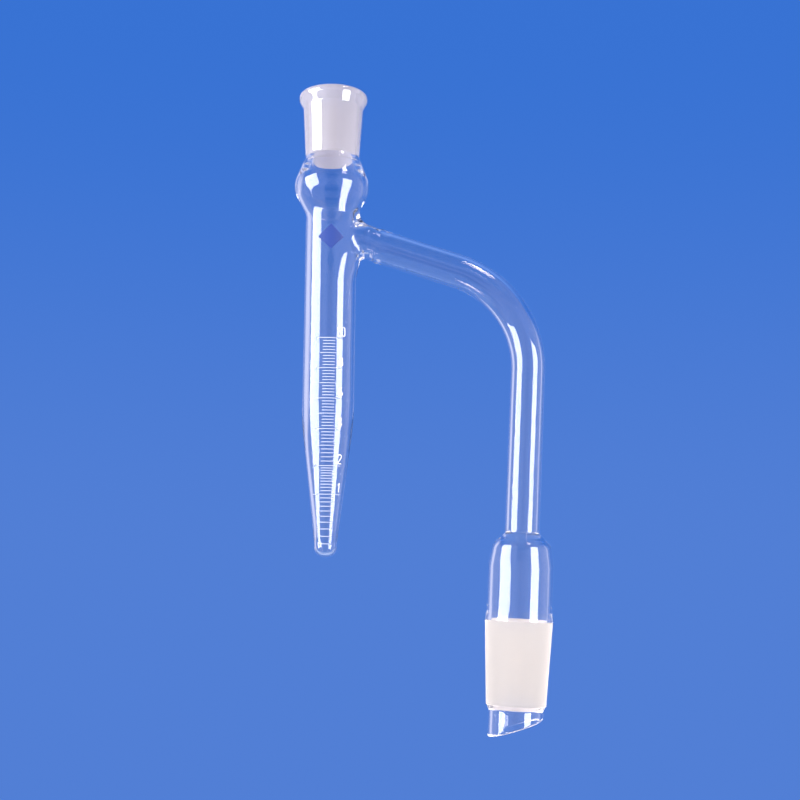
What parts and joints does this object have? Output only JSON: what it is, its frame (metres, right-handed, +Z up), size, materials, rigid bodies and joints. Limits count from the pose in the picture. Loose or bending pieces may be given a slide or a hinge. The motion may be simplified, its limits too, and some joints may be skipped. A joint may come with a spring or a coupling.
{
  "type": "moisture receiver",
  "caption": "Fused glass moisture receiver: a graduated tapered tube with a ground socket and bulb on top and a bent side arm ending in a ground cone with a bevelled drip tip.",
  "frame": {"origin": "centre of the ground cone's large end, on the cone's axis", "axes": "+Z up along the receiver tube, +X from the receiver towards the side arm's cone, -Y the front, which carries the scale"},
  "size_m": [0.095, 0.0274, 0.2332],
  "materials": {
    "clear_glass": "clear, fire polished",
    "ground_glass": "finely ground joint face, frosted",
    "white_enamel": "fired white enamel, slightly matt",
    "blue_enamel": "fired blue enamel"
  },
  "bodies": {
    "root": {"ground_socket": "ground_glass", "vapour_bulb": "clear_glass", "receiver_neck": "clear_glass", "graduated_tube": "clear_glass", "graduated_taper": "clear_glass", "sealed_tip": "clear_glass", "arm_weld": "clear_glass", "arm_run": "clear_glass", "arm_bend": "clear_glass", "arm_drop": "clear_glass", "shoulder_seam": "clear_glass", "cone_shoulder": "clear_glass", "cone_shank": "clear_glass", "ground_cone": "ground_glass", "drip_tip": "clear_glass", "numbered_lines": "white_enamel", "millilitre_lines": "white_enamel", "division_lines": "white_enamel", "numeral_1": "white_enamel", "numeral_2": "white_enamel", "numeral_4": "white_enamel", "numeral_6": "white_enamel", "numeral_8": "white_enamel", "numeral_10": "white_enamel", "blank_mark": "blue_enamel"}
  },
  "joints": []
}
